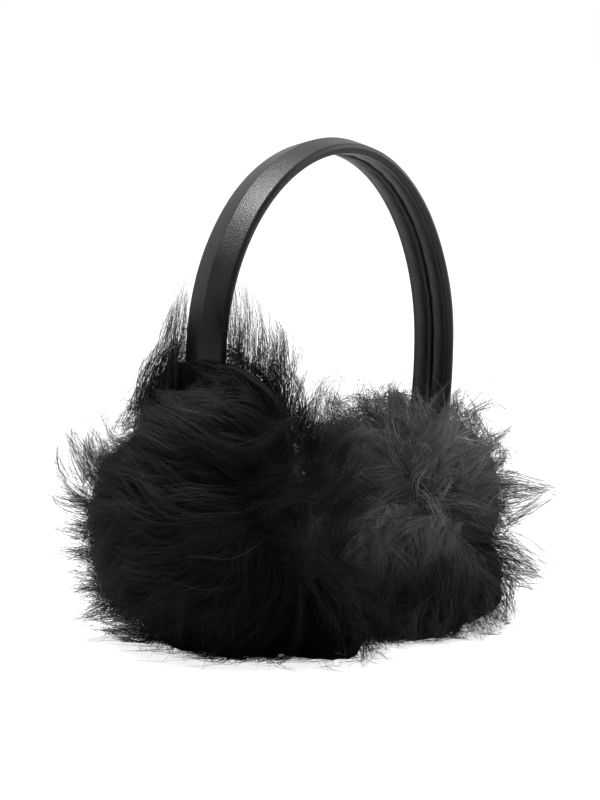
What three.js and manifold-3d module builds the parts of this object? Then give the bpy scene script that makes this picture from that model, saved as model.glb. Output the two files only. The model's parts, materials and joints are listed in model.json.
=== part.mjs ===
// Earmuffs: two round cups of long sheepskin fur on a padded leather headband, standing on a table.
//
// Frame: +X to the wearer's right, +Y to the back of the head, +Z up, millimetres.
// The origin is on the table, under the middle of the whole. The table is the plane z = 0.
import * as THREE from 'three';
import { mergeVertices } from 'three/addons/utils/BufferGeometryUtils.js';
import Module from 'manifold-3d';

const wasm = await Module();
wasm.setup();

// ---- Driving dimensions ----

// The arch of the headband: half an ellipse, with legs below it that draw in on a large arc.
const HALF_SPAN = 78.6; // from the middle to the centre line of a leg, at the widest level
const WIDEST_Z = 126; // height of that level
const ARCH_RISE = 90; // from the widest level to the centre line at the top
const TOP_LEAN = 2.6; // the top of the arch stands this far to the right of the middle
const LEG_RADIUS = 200; // the gentle curve of a leg below the widest level
const LEG_END_Z = 62; // the band ends inside the cup, near its middle
const SEAM_END_Z = 84; // the seam is lost in the fur above that

// The cups hang from the legs and lean in towards each other at the foot.
const BAND_Y = -5.8; // the fur is combed to the back, so the band stands in front of the middle
const MIDDLE_X = 4.3; // the left cup's pile is longer, so the band stands to the right of the middle
const CUP_X = 67; // the middle of a cup, where its two panels meet
const CUP_Z = 58;
const CUP_LEAN = THREE.MathUtils.degToRad(14);
const PANEL_GAP = 0.3; // between the two panels of a cup
const SLOT_CLEARANCE = 0.4; // round the band's end, between the panels

// The band's section.
const BAND_HALF_WIDTH = 9.9; // to where the round edge starts
const EDGE_BULGE = 1.9; // how far the round edge's control point stands out
const RIDGE = 3.95; // the crown's ridge, out from the centre line
const SHOULDER = 1.5; // the crown's foot, beside the edge
const INNER_FACE = -2.9;
const GROOVE_HALF_WIDTH = 1.3; // the furrow that the seam lies in
const GROOVE_FLOOR = -2.2;
const SEAM_HALF_WIDTH = 0.9;
const SEAM_HALF_HEIGHT = 0.6;
const SEAM_CENTRE = -3.1;
const CROWN_FULLNESS = 0.57; // 0.5 would run straight from the shoulder up to the ridge
const INNER_BEVEL = 0.9; // between the round edge and the flat inner face
const LEG_SHARE = 0.3; // of half the arch's parameter, the part that belongs to the leg
const BAND_STEPS = 46; // sections along the arch
const SECTION_SEGMENTS = 3; // in each curve of a section

// The fur. Each row is a rounded mass of fur, cut off at the cup's middle plane. Places are in the cup's own
// frame: y to the back and z up the leaning cup, both from its middle.
// out, y, z: the mass's centre. depth, back, front, rise, drop: how far it reaches from that centre.
// whorl: y and z of the point that the pile is combed away from.
// locks: how many lie side by side round the mass. rings: steps from the whorl to the far side.
// shag: how far a lock's tip stands off the mass.
const FUR = [
  {
    node: 'left_fur_outer', side: -1, face: 1, out: 0, y: 0, z: -6, depth: 41, back: 65, front: 43, rise: 50,
    drop: 58, whorl: [-42, 12], locks: 22, rings: 27, shag: 9,
  },
  {
    node: 'left_fur_outer', side: -1, face: 1, out: 0, y: 0, z: 38, depth: 25, back: 31, front: 44, rise: 23,
    drop: 34, whorl: [-43, 36], locks: 12, rings: 14, shag: 8,
  },
  {
    node: 'left_fur_inner', side: -1, face: -1, out: 0, y: 0, z: -6, depth: 31, back: 62, front: 43, rise: 50,
    drop: 58, whorl: [-40, 12], locks: 20, rings: 27, shag: 8,
  },
  {
    node: 'left_fur_inner', side: -1, face: -1, out: 0, y: 0, z: 40, depth: 20, back: 28, front: 46, rise: 33,
    drop: 36, whorl: [-44, 40], locks: 12, rings: 13, shag: 8,
  },
  {
    node: 'left_fur_inner', side: -1, face: -1, out: 14, y: -26, z: -44, depth: 20, back: 24, front: 28, rise: 26,
    drop: 30, whorl: [-26, -20], locks: 10, rings: 10, shag: 5,
  },
  {
    node: 'right_fur_inner', side: 1, face: -1, out: 0, y: 0, z: -10, depth: 32, back: 56, front: 42, rise: 44,
    drop: 54, whorl: [-22, 4], locks: 22, rings: 27, shag: 9,
  },
  {
    node: 'right_fur_inner', side: 1, face: -1, out: 0, y: 0, z: -40, depth: 31, back: 46, front: 56, rise: 26,
    drop: 24, whorl: [-18, -16], locks: 16, rings: 14, shag: 7,
  },
  {
    node: 'right_fur_inner', side: 1, face: -1, out: 34, y: -28, z: -46, depth: 24, back: 26, front: 29, rise: 32,
    drop: 30, whorl: [-22, -18], locks: 12, rings: 11, shag: 6,
  },
  {
    node: 'right_fur_outer', side: 1, face: 1, out: 0, y: 0, z: -10, depth: 33, back: 55, front: 42, rise: 43,
    drop: 54, whorl: [-10, 12], locks: 20, rings: 27, shag: 8,
  },
  {
    node: 'right_fur_outer', side: 1, face: 1, out: 0, y: 0, z: -40, depth: 28, back: 46, front: 53, rise: 24,
    drop: 24, whorl: [-10, -18], locks: 14, rings: 14, shag: 7,
  },
];

// Longer tufts that stand out from the rest. out, y, z: the root, outwards from the middle plane and in
// the cup's frame. lean: the way the tip points, in the same axes. length: out of the fur.
const TUFTS = [
  { node: 'left_fur_outer', out: 7, y: 14, z: 62, lean: [-0.25, 0.02, 1], length: 34 },
  { node: 'left_fur_outer', out: 8, y: 25, z: 52, lean: [-0.2, 0.2, 1], length: 22 },
  { node: 'left_fur_outer', out: 8, y: -31, z: 56, lean: [-0.2, -0.1, 1], length: 30 },
  { node: 'left_fur_outer', out: 20, y: 54, z: 16, lean: [0, 1, 0.7], length: 20 },
  { node: 'left_fur_inner', out: 7, y: -20, z: 62, lean: [0.2, -0.1, 1], length: 32 },
  { node: 'left_fur_inner', out: 9, y: -32, z: 58, lean: [0.2, -0.35, 1], length: 28 },
  { node: 'left_fur_inner', out: 9, y: -42, z: 44, lean: [0.2, -0.7, 1], length: 22 },
  { node: 'right_fur_inner', out: 8, y: -38, z: 6, lean: [0, -1, 0.1], length: 26 },
  { node: 'right_fur_outer', out: 12, y: -38, z: -20, lean: [0.2, -1, -0.1], length: 24 },
];
const TUFT_HALF_WIDTH = 6;
const TUFT_HALF_THICKNESS = 4;
const TUFT_SINK = 12; // the root's depth in the mass
const TUFT_BOW = 3; // how far its middle bends outwards
const TUFT_SWELL = 1.1; // a lock keeps its girth longer than a cone does

// A lock's crest, ring by ring from its root to its tip: its height, and how far it reaches over the next
// root, both as shares of the lock's fullness.
const CREST = [
  { height: 0.15, reach: 0 },
  { height: 0.5, reach: 0.1 },
  { height: 0.8, reach: 0.35 },
  { height: 1, reach: 0.8 },
];
const FURROW = 0.1; // the height between two locks, as such a share
const LEAST_FULLNESS = 0.6; // of the row's shag
const MOST_FULLNESS = 1.4;
const SQUARENESS = 2.5; // of a mass's outline: 2 is an ellipse
const PILE_STEP = 0.02; // from a point to the next one along the pile, on a mass of radius 1

const ROOM = 400; // larger than the whole
const WELDING_PASSES = 3; // each one may close another narrow pocket
const DRAW_IN = 0.02; // the most that a surface is drawn in, so that locks which only touch come apart
const TABLE_SKIN = 0.01; // what lies nearer the table than this keeps its height

const LEATHER = { color: 0x17161a, roughness: 0.42, metalness: 0 };
const STITCHING = { color: 0x232226, roughness: 0.6, metalness: 0 };
const FUR_BLACK = { color: 0x0c0b0c, roughness: 0.8, metalness: 0 };

// ---- Solids ----

/** Makes a manifold solid from a closed three.js geometry. */
function toSolid(geometry) {
  const bare = geometry.clone();
  bare.deleteAttribute('normal');
  bare.deleteAttribute('uv');
  const welded = mergeVertices(bare, 1e-3);
  return new wasm.Manifold(new wasm.Mesh({
    numProp: 3,
    vertProperties: new Float32Array(welded.attributes.position.array),
    triVerts: new Uint32Array(welded.index.array),
  }));
}

/** Gives a solid back as a three.js geometry. */
function toGeometry(solid) {
  const mesh = solid.getMesh();
  const geometry = new THREE.BufferGeometry();
  geometry.setAttribute('position', new THREE.BufferAttribute(new Float32Array(mesh.vertProperties), 3));
  geometry.setIndex(new THREE.BufferAttribute(new Uint32Array(mesh.triVerts), 1));
  geometry.computeVertexNormals();
  return geometry;
}

/** A solid's largest shell, without slivers: pockets between its locks are filled and crumbs dropped. */
function largestShell(solid) {
  let largest = solid;
  for (let pass = 0; pass < WELDING_PASSES; pass += 1) {
    const shells = toSolid(toGeometry(largest)).decompose();
    largest = shells.reduce((best, shell) => (shell.volume() > best.volume() ? shell : best));
  }
  return largest;
}

/** Draws a surface in by a hair's breadth, and leaves what stands on the table flat. */
function drawnIn(geometry) {
  const inwards = new THREE.Vector3();
  let i = 0;
  return reshape(geometry, (v) => {
    inwards.fromBufferAttribute(geometry.attributes.normal, i).negate();
    i += 1;
    if (v.z < TABLE_SKIN) {
      inwards.setZ(0);
    }
    return v.addScaledVector(inwards, DRAW_IN * (0.5 + 0.5 * scatter(i, 3)));
  });
}

function part(name, geometry, look) {
  const mesh = new THREE.Mesh(geometry, new THREE.MeshStandardMaterial(look));
  mesh.name = name;
  return mesh;
}

/** Moves each vertex of a geometry to the place that place(vertex) gives. */
function reshape(geometry, place) {
  const position = geometry.attributes.position;
  const vertex = new THREE.Vector3();
  for (let i = 0; i < position.count; i += 1) {
    vertex.fromBufferAttribute(position, i);
    const moved = place(vertex);
    position.setXYZ(i, moved.x, moved.y, moved.z);
  }
  return geometry;
}

/** A repeatable number from 0 to 1 for lock i, another for each k. */
function scatter(i, k) {
  const s = Math.sin(i * 12.9898 + k * 78.233) * 43758.5453;
  return s - Math.floor(s);
}

// ---- The headband ----

/** The centre line of the band from the right leg's end over the top to the left leg's end. */
class ArchCurve extends THREE.Curve {
  constructor(endZ) {
    super();
    this.legAngle = Math.asin((WIDEST_Z - endZ) / LEG_RADIUS);
  }

  getPoint(t, target = new THREE.Vector3()) {
    const side = t < 0.5 ? 1 : -1;
    const down = Math.abs(2 * t - 1); // 0 at the top, 1 at a leg's end
    const legStart = 1 - LEG_SHARE;
    if (down > legStart) {
      const angle = (this.legAngle * (down - legStart)) / LEG_SHARE;
      const x = HALF_SPAN - LEG_RADIUS * (1 - Math.cos(angle));
      return target.set(side * x, 0, WIDEST_Z - LEG_RADIUS * Math.sin(angle));
    }
    const angle = (Math.PI / 2) * (1 - down / legStart);
    const up = Math.sin(angle);
    return target.set(side * HALF_SPAN * Math.cos(angle) + TOP_LEAN * up ** 3, 0, WIDEST_Z + ARCH_RISE * up);
  }
}

/** The band's section, x outwards from the centre line and y across the band, grown all round. */
function bandSection(grow, grooved) {
  const half = BAND_HALF_WIDTH + grow;
  const ridge = RIDGE + grow;
  const shoulder = SHOULDER + grow;
  const inner = INNER_FACE - grow;
  const edgeEnd = inner + INNER_BEVEL / 2;
  const crownMid = shoulder + CROWN_FULLNESS * (ridge - shoulder);
  const s = new THREE.Shape();
  s.moveTo(ridge, 0);
  s.quadraticCurveTo(crownMid, half / 2, shoulder, half);
  s.quadraticCurveTo((shoulder + inner) / 2, half + EDGE_BULGE, edgeEnd, half);
  s.lineTo(inner, half - INNER_BEVEL);
  if (grooved) {
    s.lineTo(inner, GROOVE_HALF_WIDTH);
    s.lineTo(GROOVE_FLOOR, GROOVE_HALF_WIDTH);
    s.lineTo(GROOVE_FLOOR, -GROOVE_HALF_WIDTH);
    s.lineTo(inner, -GROOVE_HALF_WIDTH);
  }
  s.lineTo(inner, INNER_BEVEL - half);
  s.lineTo(edgeEnd, -half);
  s.quadraticCurveTo((shoulder + inner) / 2, -half - EDGE_BULGE, shoulder, -half);
  s.quadraticCurveTo(crownMid, -half / 2, ridge, 0);
  return s;
}

/** The seam's oval section, beside the inner face. */
function seamSection(grow) {
  const s = new THREE.Shape();
  s.absellipse(SEAM_CENTRE, 0, SEAM_HALF_HEIGHT + grow, SEAM_HALF_WIDTH + grow, 0, 2 * Math.PI);
  return s;
}

/** A section carried along the arch, with its x outwards and its y along +Y. */
function alongArch(section, endZ) {
  const curve = new ArchCurve(endZ);
  const straight = new THREE.ExtrudeGeometry(section, {
    depth: 1, steps: BAND_STEPS, bevelEnabled: false, curveSegments: SECTION_SEGMENTS,
  });
  const centre = new THREE.Vector3();
  const tangent = new THREE.Vector3();
  return reshape(straight, (v) => {
    curve.getPointAt(v.z, centre);
    curve.getTangentAt(v.z, tangent);
    const outX = tangent.z;
    const outZ = -tangent.x;
    return new THREE.Vector3(centre.x + outX * v.x, BAND_Y + v.y, centre.z + outZ * v.x);
  });
}

function headband() {
  return part('headband', alongArch(bandSection(0, true), LEG_END_Z), LEATHER);
}

function headbandSeam() {
  return part('headband_seam', alongArch(seamSection(0), SEAM_END_Z), STITCHING);
}

// ---- The fur ----

/** A cup's own frame: its origin is the cup's middle, and its z runs up the leaning middle plane. */
function cupFrame(side) {
  const frame = new THREE.Matrix4().makeRotationY(side * CUP_LEAN);
  return frame.setPosition(side * CUP_X, BAND_Y, CUP_Z);
}

function massCentre(row) {
  return new THREE.Vector3(row.side * row.face * row.out, row.y, row.z);
}

/** The point of a mass's surface that lies in this direction from its centre. */
function massPoint(row, { x, y, z }) {
  const outline = (Math.abs(y) ** SQUARENESS + Math.abs(z) ** SQUARENESS) ** (1 / SQUARENESS);
  const norm = Math.hypot(x, outline);
  return new THREE.Vector3(
    (x / norm) * row.depth,
    (y / norm) * (y > 0 ? row.back : row.front),
    (z / norm) * (z > 0 ? row.rise : row.drop),
  ).add(massCentre(row));
}

/** The direction from a mass's centre in which its surface passes over y and z, on the side that shows. */
function directionOver(row, [y, z]) {
  const across = (y - row.y) / (y > row.y ? row.back : row.front);
  const up = (z - row.z) / (z > row.z ? row.rise : row.drop);
  const outline = (Math.abs(across) ** SQUARENESS + Math.abs(up) ** SQUARENESS) ** (2 / SQUARENESS);
  const out = row.side * row.face * Math.sqrt(Math.max(0, 1 - outline));
  return new THREE.Vector3(out, across, up).normalize();
}

/** How high a point of the mass stands off it, and how far it is drawn on along the pile. */
function relief(row, ring, column) {
  if (ring === 0 || ring === row.rings) {
    return { height: 0, reach: 0 };
  }
  const lock = Math.floor(column / 2);
  const phase = Math.floor(CREST.length * scatter(lock, 1));
  const step = (ring + phase) % CREST.length;
  const turn = Math.floor((ring + phase) / CREST.length);
  const chance = scatter(lock + 31 * turn, 2);
  const fullness = row.shag * THREE.MathUtils.lerp(LEAST_FULLNESS, MOST_FULLNESS, chance);
  if (column % 2 === 1) {
    return { height: FURROW * fullness, reach: 0 };
  }
  return { height: CREST[step].height * fullness, reach: CREST[step].reach * fullness };
}

/** A mass of fur: locks in overlapping tiers that run from the whorl round to the far side. */
function furMass(row) {
  const columns = 2 * row.locks;
  const whorl = directionOver(row, row.whorl);
  const turn = new THREE.Quaternion().setFromUnitVectors(new THREE.Vector3(0, 1, 0), whorl);
  let index = -1;
  return reshape(new THREE.SphereGeometry(1, columns, row.rings), (v) => {
    index += 1;
    const ring = Math.floor(index / (columns + 1));
    const column = (index % (columns + 1)) % columns;
    const { height, reach } = relief(row, ring, column);
    const direction = v.clone().applyQuaternion(turn);
    const onwards = direction.clone().multiplyScalar(direction.dot(whorl)).sub(whorl).normalize();
    const root = massPoint(row, direction);
    const next = massPoint(row, direction.clone().addScaledVector(onwards, PILE_STEP));
    const pile = next.sub(root).normalize();
    const off = root.clone().sub(massCentre(row)).normalize();
    return root.addScaledVector(off, height).addScaledVector(pile, reach);
  });
}

/** A longer tuft that stands out of its panel: a tapered lock, bent from its root to its tip. */
function tuft(row, { out, y, z, lean, length }) {
  const outwards = new THREE.Vector3(row.side * row.face, 0, 0);
  const way = new THREE.Vector3(lean[0] * row.side * row.face, lean[1], lean[2]).normalize();
  const start = new THREE.Vector3(outwards.x * out, y, z).addScaledVector(way, -TUFT_SINK);
  const tip = start.clone().addScaledVector(way, length + TUFT_SINK);
  const middle = start.clone().lerp(tip, 0.5).addScaledVector(outwards, TUFT_BOW);
  const curve = new THREE.QuadraticBezierCurve3(start, middle, tip);
  const across = new THREE.Vector3().crossVectors(way, outwards).normalize();
  return reshape(new THREE.ConeGeometry(1, 1, 6, 4), (v) => {
    const t = v.y + 0.5;
    const fullness = 1 + TUFT_SWELL * t;
    const thick = new THREE.Vector3().crossVectors(across, curve.getTangent(t));
    return curve.getPoint(t)
      .addScaledVector(across, v.x * fullness * TUFT_HALF_WIDTH)
      .addScaledVector(thick, v.z * fullness * TUFT_HALF_THICKNESS);
  });
}

/** The room that a panel may fill: one side of its cup's middle plane, in the cup's frame. */
function panelRoom(row) {
  const room = new THREE.BoxGeometry(ROOM, ROOM, ROOM);
  return room.translate(row.side * row.face * (PANEL_GAP / 2 + ROOM / 2), 0, 0);
}

/** One panel of fur: its masses and tufts as one body, cut flat for the table and opened for the band. */
function furPanel(node) {
  const rows = FUR.filter((row) => row.node === node);
  const tufts = TUFTS.filter((one) => one.node === node).map((one) => tuft(rows[0], one));
  const pieces = rows.map(furMass).concat(tufts).map(toSolid);
  const panel = pieces.reduce((sum, piece) => sum.add(piece)).intersect(toSolid(panelRoom(rows[0])));
  const placed = toSolid(toGeometry(panel).applyMatrix4(cupFrame(rows[0].side)));
  const aboveTable = new THREE.BoxGeometry(ROOM, ROOM, ROOM).translate(0, 0, ROOM / 2);
  const bandSlot = alongArch(bandSection(SLOT_CLEARANCE, false), LEG_END_Z - SLOT_CLEARANCE);
  const seamSlot = alongArch(seamSection(SLOT_CLEARANCE), SEAM_END_Z - SLOT_CLEARANCE);
  const cut = placed.intersect(toSolid(aboveTable)).subtract(toSolid(bandSlot)).subtract(toSolid(seamSlot));
  return part(node, drawnIn(toGeometry(largestShell(cut))), FUR_BLACK);
}

// ---- The whole ----

const earmuffs = new THREE.Group();
earmuffs.position.x = MIDDLE_X;
earmuffs.add(headband(), headbandSeam());
for (const node of new Set(FUR.map((row) => row.node))) {
  earmuffs.add(furPanel(node));
}

export default earmuffs;
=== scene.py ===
# %% [markdown]
# # Earmuffs: long black fur on a padded leather headband
#
# This lesson dresses a pair of earmuffs. Their solids were made beforehand, and they are loaded as a fixed
# frame: a padded band bent in an arch, its seam, and two panels of fur for each cup. The band gets a smooth
# leather cover, the seam gets its stitches, and each panel gets a pelt and 3,000 to 10,000 hairs.
#
# Everything is in metres, with +X to the wearer's right, +Y to the back of the head and +Z up. The earmuffs
# stand on a table at z = 0.

# %% Load the frame
import json
import math

import bpy
import numpy as np
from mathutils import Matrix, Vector

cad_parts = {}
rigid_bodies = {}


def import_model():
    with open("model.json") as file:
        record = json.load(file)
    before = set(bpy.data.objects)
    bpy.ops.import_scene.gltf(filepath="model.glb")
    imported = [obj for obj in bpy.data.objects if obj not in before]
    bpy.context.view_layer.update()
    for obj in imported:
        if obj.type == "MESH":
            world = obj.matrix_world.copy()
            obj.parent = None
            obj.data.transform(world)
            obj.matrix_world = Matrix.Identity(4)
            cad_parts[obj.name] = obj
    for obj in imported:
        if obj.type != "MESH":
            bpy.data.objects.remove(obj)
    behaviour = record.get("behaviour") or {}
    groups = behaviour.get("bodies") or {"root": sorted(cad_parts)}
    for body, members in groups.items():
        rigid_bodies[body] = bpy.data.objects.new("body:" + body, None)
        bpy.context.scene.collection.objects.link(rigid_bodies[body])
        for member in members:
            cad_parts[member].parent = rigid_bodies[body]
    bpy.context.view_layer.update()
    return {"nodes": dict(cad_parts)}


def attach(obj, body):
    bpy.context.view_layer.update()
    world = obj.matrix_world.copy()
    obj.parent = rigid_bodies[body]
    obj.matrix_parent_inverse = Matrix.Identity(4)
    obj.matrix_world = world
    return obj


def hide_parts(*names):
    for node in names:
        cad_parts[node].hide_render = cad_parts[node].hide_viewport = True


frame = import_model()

MM = 0.001
print("The frame's nodes:", ", ".join(sorted(frame["nodes"])))

# %% [markdown]
# ## Tools for node trees and meshes
#
# A shader and a Geometry Nodes tree are both built from nodes and links. `Tree` keeps that short: `add` makes
# a node, sets its properties, and fills its sockets from plain values or from other nodes' outputs.

# %% A short way to write node trees


class Tree:
    """A node tree under construction."""

    def __init__(self, tree):
        self.tree = tree

    def add(self, kind, inputs=None, **properties):
        """Adds a node. A value that is a socket is linked, and any other is set."""
        node = self.tree.nodes.new(kind)
        for name, value in properties.items():
            setattr(node, name, value)
        for key, value in (inputs or {}).items():
            if isinstance(value, bpy.types.NodeSocket):
                self.tree.links.new(value, node.inputs[key])
            else:
                node.inputs[key].default_value = value
        return node

    def math(self, operation, *values):
        return self.add("ShaderNodeMath", dict(enumerate(values)), operation=operation).outputs[0]

    def vector(self, operation, *values):
        node = self.add("ShaderNodeVectorMath", dict(enumerate(values)), operation=operation)
        return node.outputs["Value" if operation in ("DOT_PRODUCT", "LENGTH") else "Vector"]

    def scaled(self, vector, factor):
        node = self.add("ShaderNodeVectorMath", {0: vector, "Scale": factor}, operation="SCALE")
        return node.outputs["Vector"]

    def between(self, factor, low, high):
        """low where the factor is 0 and high where it is 1."""
        return self.add("ShaderNodeMix", {0: factor, 2: low, 3: high}).outputs[0]

    def ranged(self, value, low, high, to_low, to_high, **properties):
        """The value carried from one range, low to high, into another."""
        inputs = {0: value, 1: low, 2: high, 3: to_low, 4: to_high}
        return self.add("ShaderNodeMapRange", inputs, **properties).outputs[0]


print("A tree's short ways:", ", ".join(name for name in vars(Tree) if not name.startswith("_")))

# %% [markdown]
# A node group is a tree with named sockets, which a learner can set by hand in Blender too. A mesh is made
# from its points and faces. Whatever a modifier makes can be settled into a plain mesh, and numbers can be
# stored at a mesh's points for a material or a tree to read.

# %% Groups, meshes and modifiers


def group(name, kind, sockets):
    """A node group with its named sockets: (name, in or out, socket type, value, least, most)."""
    tree = bpy.data.node_groups.new(name, kind)
    for label, way, socket_type, *rest in sockets:
        socket = tree.interface.new_socket(label, in_out=way, socket_type=socket_type)
        if rest:
            socket.default_value = rest[0]
        if len(rest) > 1:
            socket.min_value, socket.max_value = rest[1:]
    return tree


def mesh_object(name, points, faces, material=None, smooth=True):
    """A mesh object at the origin, with its place in its mesh."""
    mesh = bpy.data.meshes.new(name)
    mesh.from_pydata(np.asarray(points).tolist(), [], [tuple(f) for f in faces])
    mesh.shade_smooth() if smooth else mesh.shade_flat()
    thing = bpy.data.objects.new(name, mesh)
    bpy.context.scene.collection.objects.link(thing)
    if material:
        mesh.materials.append(material)
    return thing


def set_at_points(mesh, name, values):
    """Stores a number or a vector at each point of a mesh."""
    values = np.asarray(values, np.float32)
    kind, field = ("FLOAT_VECTOR", "vector") if values.ndim == 2 else ("FLOAT", "value")
    mesh.attributes.new(name, kind, "POINT").data.foreach_set(field, values.ravel())


def line_object(name, points, edges):
    """A mesh of edges alone, for a modifier to work on."""
    mesh = bpy.data.meshes.new(name)
    mesh.from_pydata(points.tolist(), edges, [])
    thing = bpy.data.objects.new(name, mesh)
    bpy.context.scene.collection.objects.link(thing)
    return thing


def set_inputs(modifier, **values):
    """Sets a Geometry Nodes modifier's inputs. The modifier knows them by identifier, not by name."""
    for item in modifier.node_group.interface.items_tree:
        key = item.name.lower().replace(" ", "_")
        if item.in_out == "INPUT" and key in values:
            modifier[item.identifier] = values.pop(key)
    assert not values, f"no such input: {sorted(values)}"


def settled(thing, name):
    """What the modifiers of a thing make, as a plain mesh object of its own."""
    evaluated = thing.evaluated_get(bpy.context.evaluated_depsgraph_get())
    mesh = bpy.data.meshes.new_from_object(evaluated)
    source = thing.data
    bpy.data.objects.remove(thing)
    bpy.data.meshes.remove(source)
    mesh.name = name
    result = bpy.data.objects.new(name, mesh)
    bpy.context.scene.collection.objects.link(result)
    return result


# %% [markdown]
# ## Camera and studio
#
# The camera stands low and to the front of the left cup, far away behind a long lens, so that the arch keeps
# its true proportions.

# %% Camera
CAMERA_AZIMUTH = math.radians(-49.5)
CAMERA_HEIGHT_ANGLE = math.radians(6.9)
CAMERA_DISTANCE = 1.532
LOOK_AT = np.array([-0.0026, 0.0023, 0.104])


def direction(azimuth, height_angle):
    """The unit vector from the earmuffs towards a place in the studio."""
    return np.array([
        math.sin(azimuth) * math.cos(height_angle),
        -math.cos(azimuth) * math.cos(height_angle),
        math.sin(height_angle),
    ])


def aim(thing, place, target):
    """Puts a camera or lamp at a place and turns it to look at the target."""
    thing.location = place
    thing.rotation_euler = Vector(np.subtract(target, place)).to_track_quat("-Z", "Y").to_euler()
    bpy.context.scene.collection.objects.link(thing)


lens = bpy.data.cameras.new("camera")
lens.lens = 155.8
lens.sensor_width = 36
lens.clip_end = 20
camera = bpy.data.objects.new("camera", lens)
aim(camera, LOOK_AT + CAMERA_DISTANCE * direction(CAMERA_AZIMUTH, CAMERA_HEIGHT_ANGLE), LOOK_AT)
bpy.context.scene.camera = camera
print("Camera at", [round(v, 3) for v in camera.location])

# %% [markdown]
# Two large soft lamps light the earmuffs: one nearly overhead, a little behind them on the left, and a weaker
# one low on the right.

# %% Lamps
LAMPS = [
    # name, azimuth, height angle, distance, size, power
    ("overhead_lamp", -126, 77, 1.5, 0.65, 25),
    ("side_lamp", 60, 22, 2.0, 1.2, 9),
]
for name, azimuth, height_angle, distance, size, power in LAMPS:
    light = bpy.data.lights.new(name, "AREA")
    light.shape = "SQUARE"
    light.size = size
    light.energy = power
    lamp = bpy.data.objects.new(name, light)
    aim(lamp, LOOK_AT + distance * direction(math.radians(azimuth), math.radians(height_angle)), LOOK_AT)
print("Lamps:", ", ".join(f"{name}, {power} W" for name, *_, power in LAMPS))

# %% [markdown]
# The room is white behind the earmuffs and dim behind the camera, so that the side that faces the camera
# stays dark. The camera itself sees plain white. The table is pale, with no edge in view, and glows for the
# camera alone.

# %% Room and table
TABLE_HALF_SIZE = 8
TABLE_GLOW = 0.85
BACKDROP = -direction(CAMERA_AZIMUTH, 0)
ROOM_DIM, ROOM_BRIGHT = 0.10, 0.85
TURN_TO_BRIGHT = -0.6  # where the room starts to brighten: -1 is behind the camera, 1 behind the earmuffs
room = bpy.data.worlds.new("room")
room.use_nodes = True
r = Tree(room.node_tree)
ray = r.add("ShaderNodeTexCoord").outputs["Generated"]
facing = r.vector("DOT_PRODUCT", ray, tuple(BACKDROP))
glow = r.ranged(facing, TURN_TO_BRIGHT, 1.0, ROOM_DIM, ROOM_BRIGHT, interpolation_type="SMOOTHSTEP")
seen = r.add("ShaderNodeLightPath").outputs["Is Camera Ray"]
r.tree.links.new(r.between(seen, glow, 1.0), room.node_tree.nodes["Background"].inputs["Strength"])
room.node_tree.nodes["Background"].inputs["Color"].default_value = (1, 1, 1, 1)
bpy.context.scene.world = room
bpy.context.scene.view_settings.view_transform = "Standard"

table_mesh = bpy.data.meshes.new("table")
corners = [(x * TABLE_HALF_SIZE, y * TABLE_HALF_SIZE, 0) for x, y in ((-1, -1), (1, -1), (1, 1), (-1, 1))]
table_mesh.from_pydata(corners, [], [(0, 1, 2, 3)])
table = bpy.data.objects.new("table", table_mesh)
bpy.context.scene.collection.objects.link(table)
table_white = bpy.data.materials.new("table_white")
table_white.use_nodes = True
t = Tree(table_white.node_tree)
surface = table_white.node_tree.nodes["Principled BSDF"]
surface.inputs["Base Color"].default_value = (0.6, 0.6, 0.6, 1)
surface.inputs["Roughness"].default_value = 0.9
surface.inputs["Emission Color"].default_value = (1, 1, 1, 1)
lit = t.math("MULTIPLY", t.add("ShaderNodeLightPath").outputs["Is Camera Ray"], TABLE_GLOW)
t.tree.links.new(lit, surface.inputs["Emission Strength"])
table_mesh.materials.append(table_white)
print("Table:", 2 * TABLE_HALF_SIZE, "m wide")

# %% [markdown]
# ## Leather
#
# The band's cover is smooth leather, black with a half gloss. Two things make it look like leather: a fine
# pebbled grain, and small soft creases. Both are low relief, so they belong in a bump. The seam's rolled edge
# is taken to be of the same hide, so the grain is a shader group that both materials use. The group also
# gives soft patches of wear, which lighten the colour and change the gloss.

# %% The grain, as a shader group
grain_tree = group("hide_grain", "ShaderNodeTree", [
    ("Pebbles", "INPUT", "NodeSocketFloat", 1600.0, 1.0, 1e5),
    ("Creases", "INPUT", "NodeSocketFloat", 260.0, 1.0, 1e5),
    ("Height", "OUTPUT", "NodeSocketFloat"),
    ("Wear", "OUTPUT", "NodeSocketFloat"),
])
g = Tree(grain_tree)
sizes = g.add("NodeGroupInput").outputs
place = g.add("ShaderNodeTexCoord").outputs["Object"]
pebble = g.add("ShaderNodeTexVoronoi", {"Vector": place, "Scale": sizes["Pebbles"]}, feature="SMOOTH_F1")
crease = g.add("ShaderNodeTexNoise", {"Vector": place, "Scale": sizes["Creases"], "Detail": 4.0})
patch = g.add("ShaderNodeTexNoise", {"Vector": place, "Scale": 38.0, "Detail": 2.0})
height = g.math("ADD", pebble.outputs["Distance"], g.math("MULTIPLY", crease.outputs[0], 0.9))
g.add("NodeGroupOutput", {"Height": height, "Wear": patch.outputs[0]})
print("Made the group", grain_tree.name)

# %% [markdown]
# The band's leather is deeper and glossier than the seam's, whose edge is rubbed. Each is a shader of its own
# round the same grain.

# %% Two leathers


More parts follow.
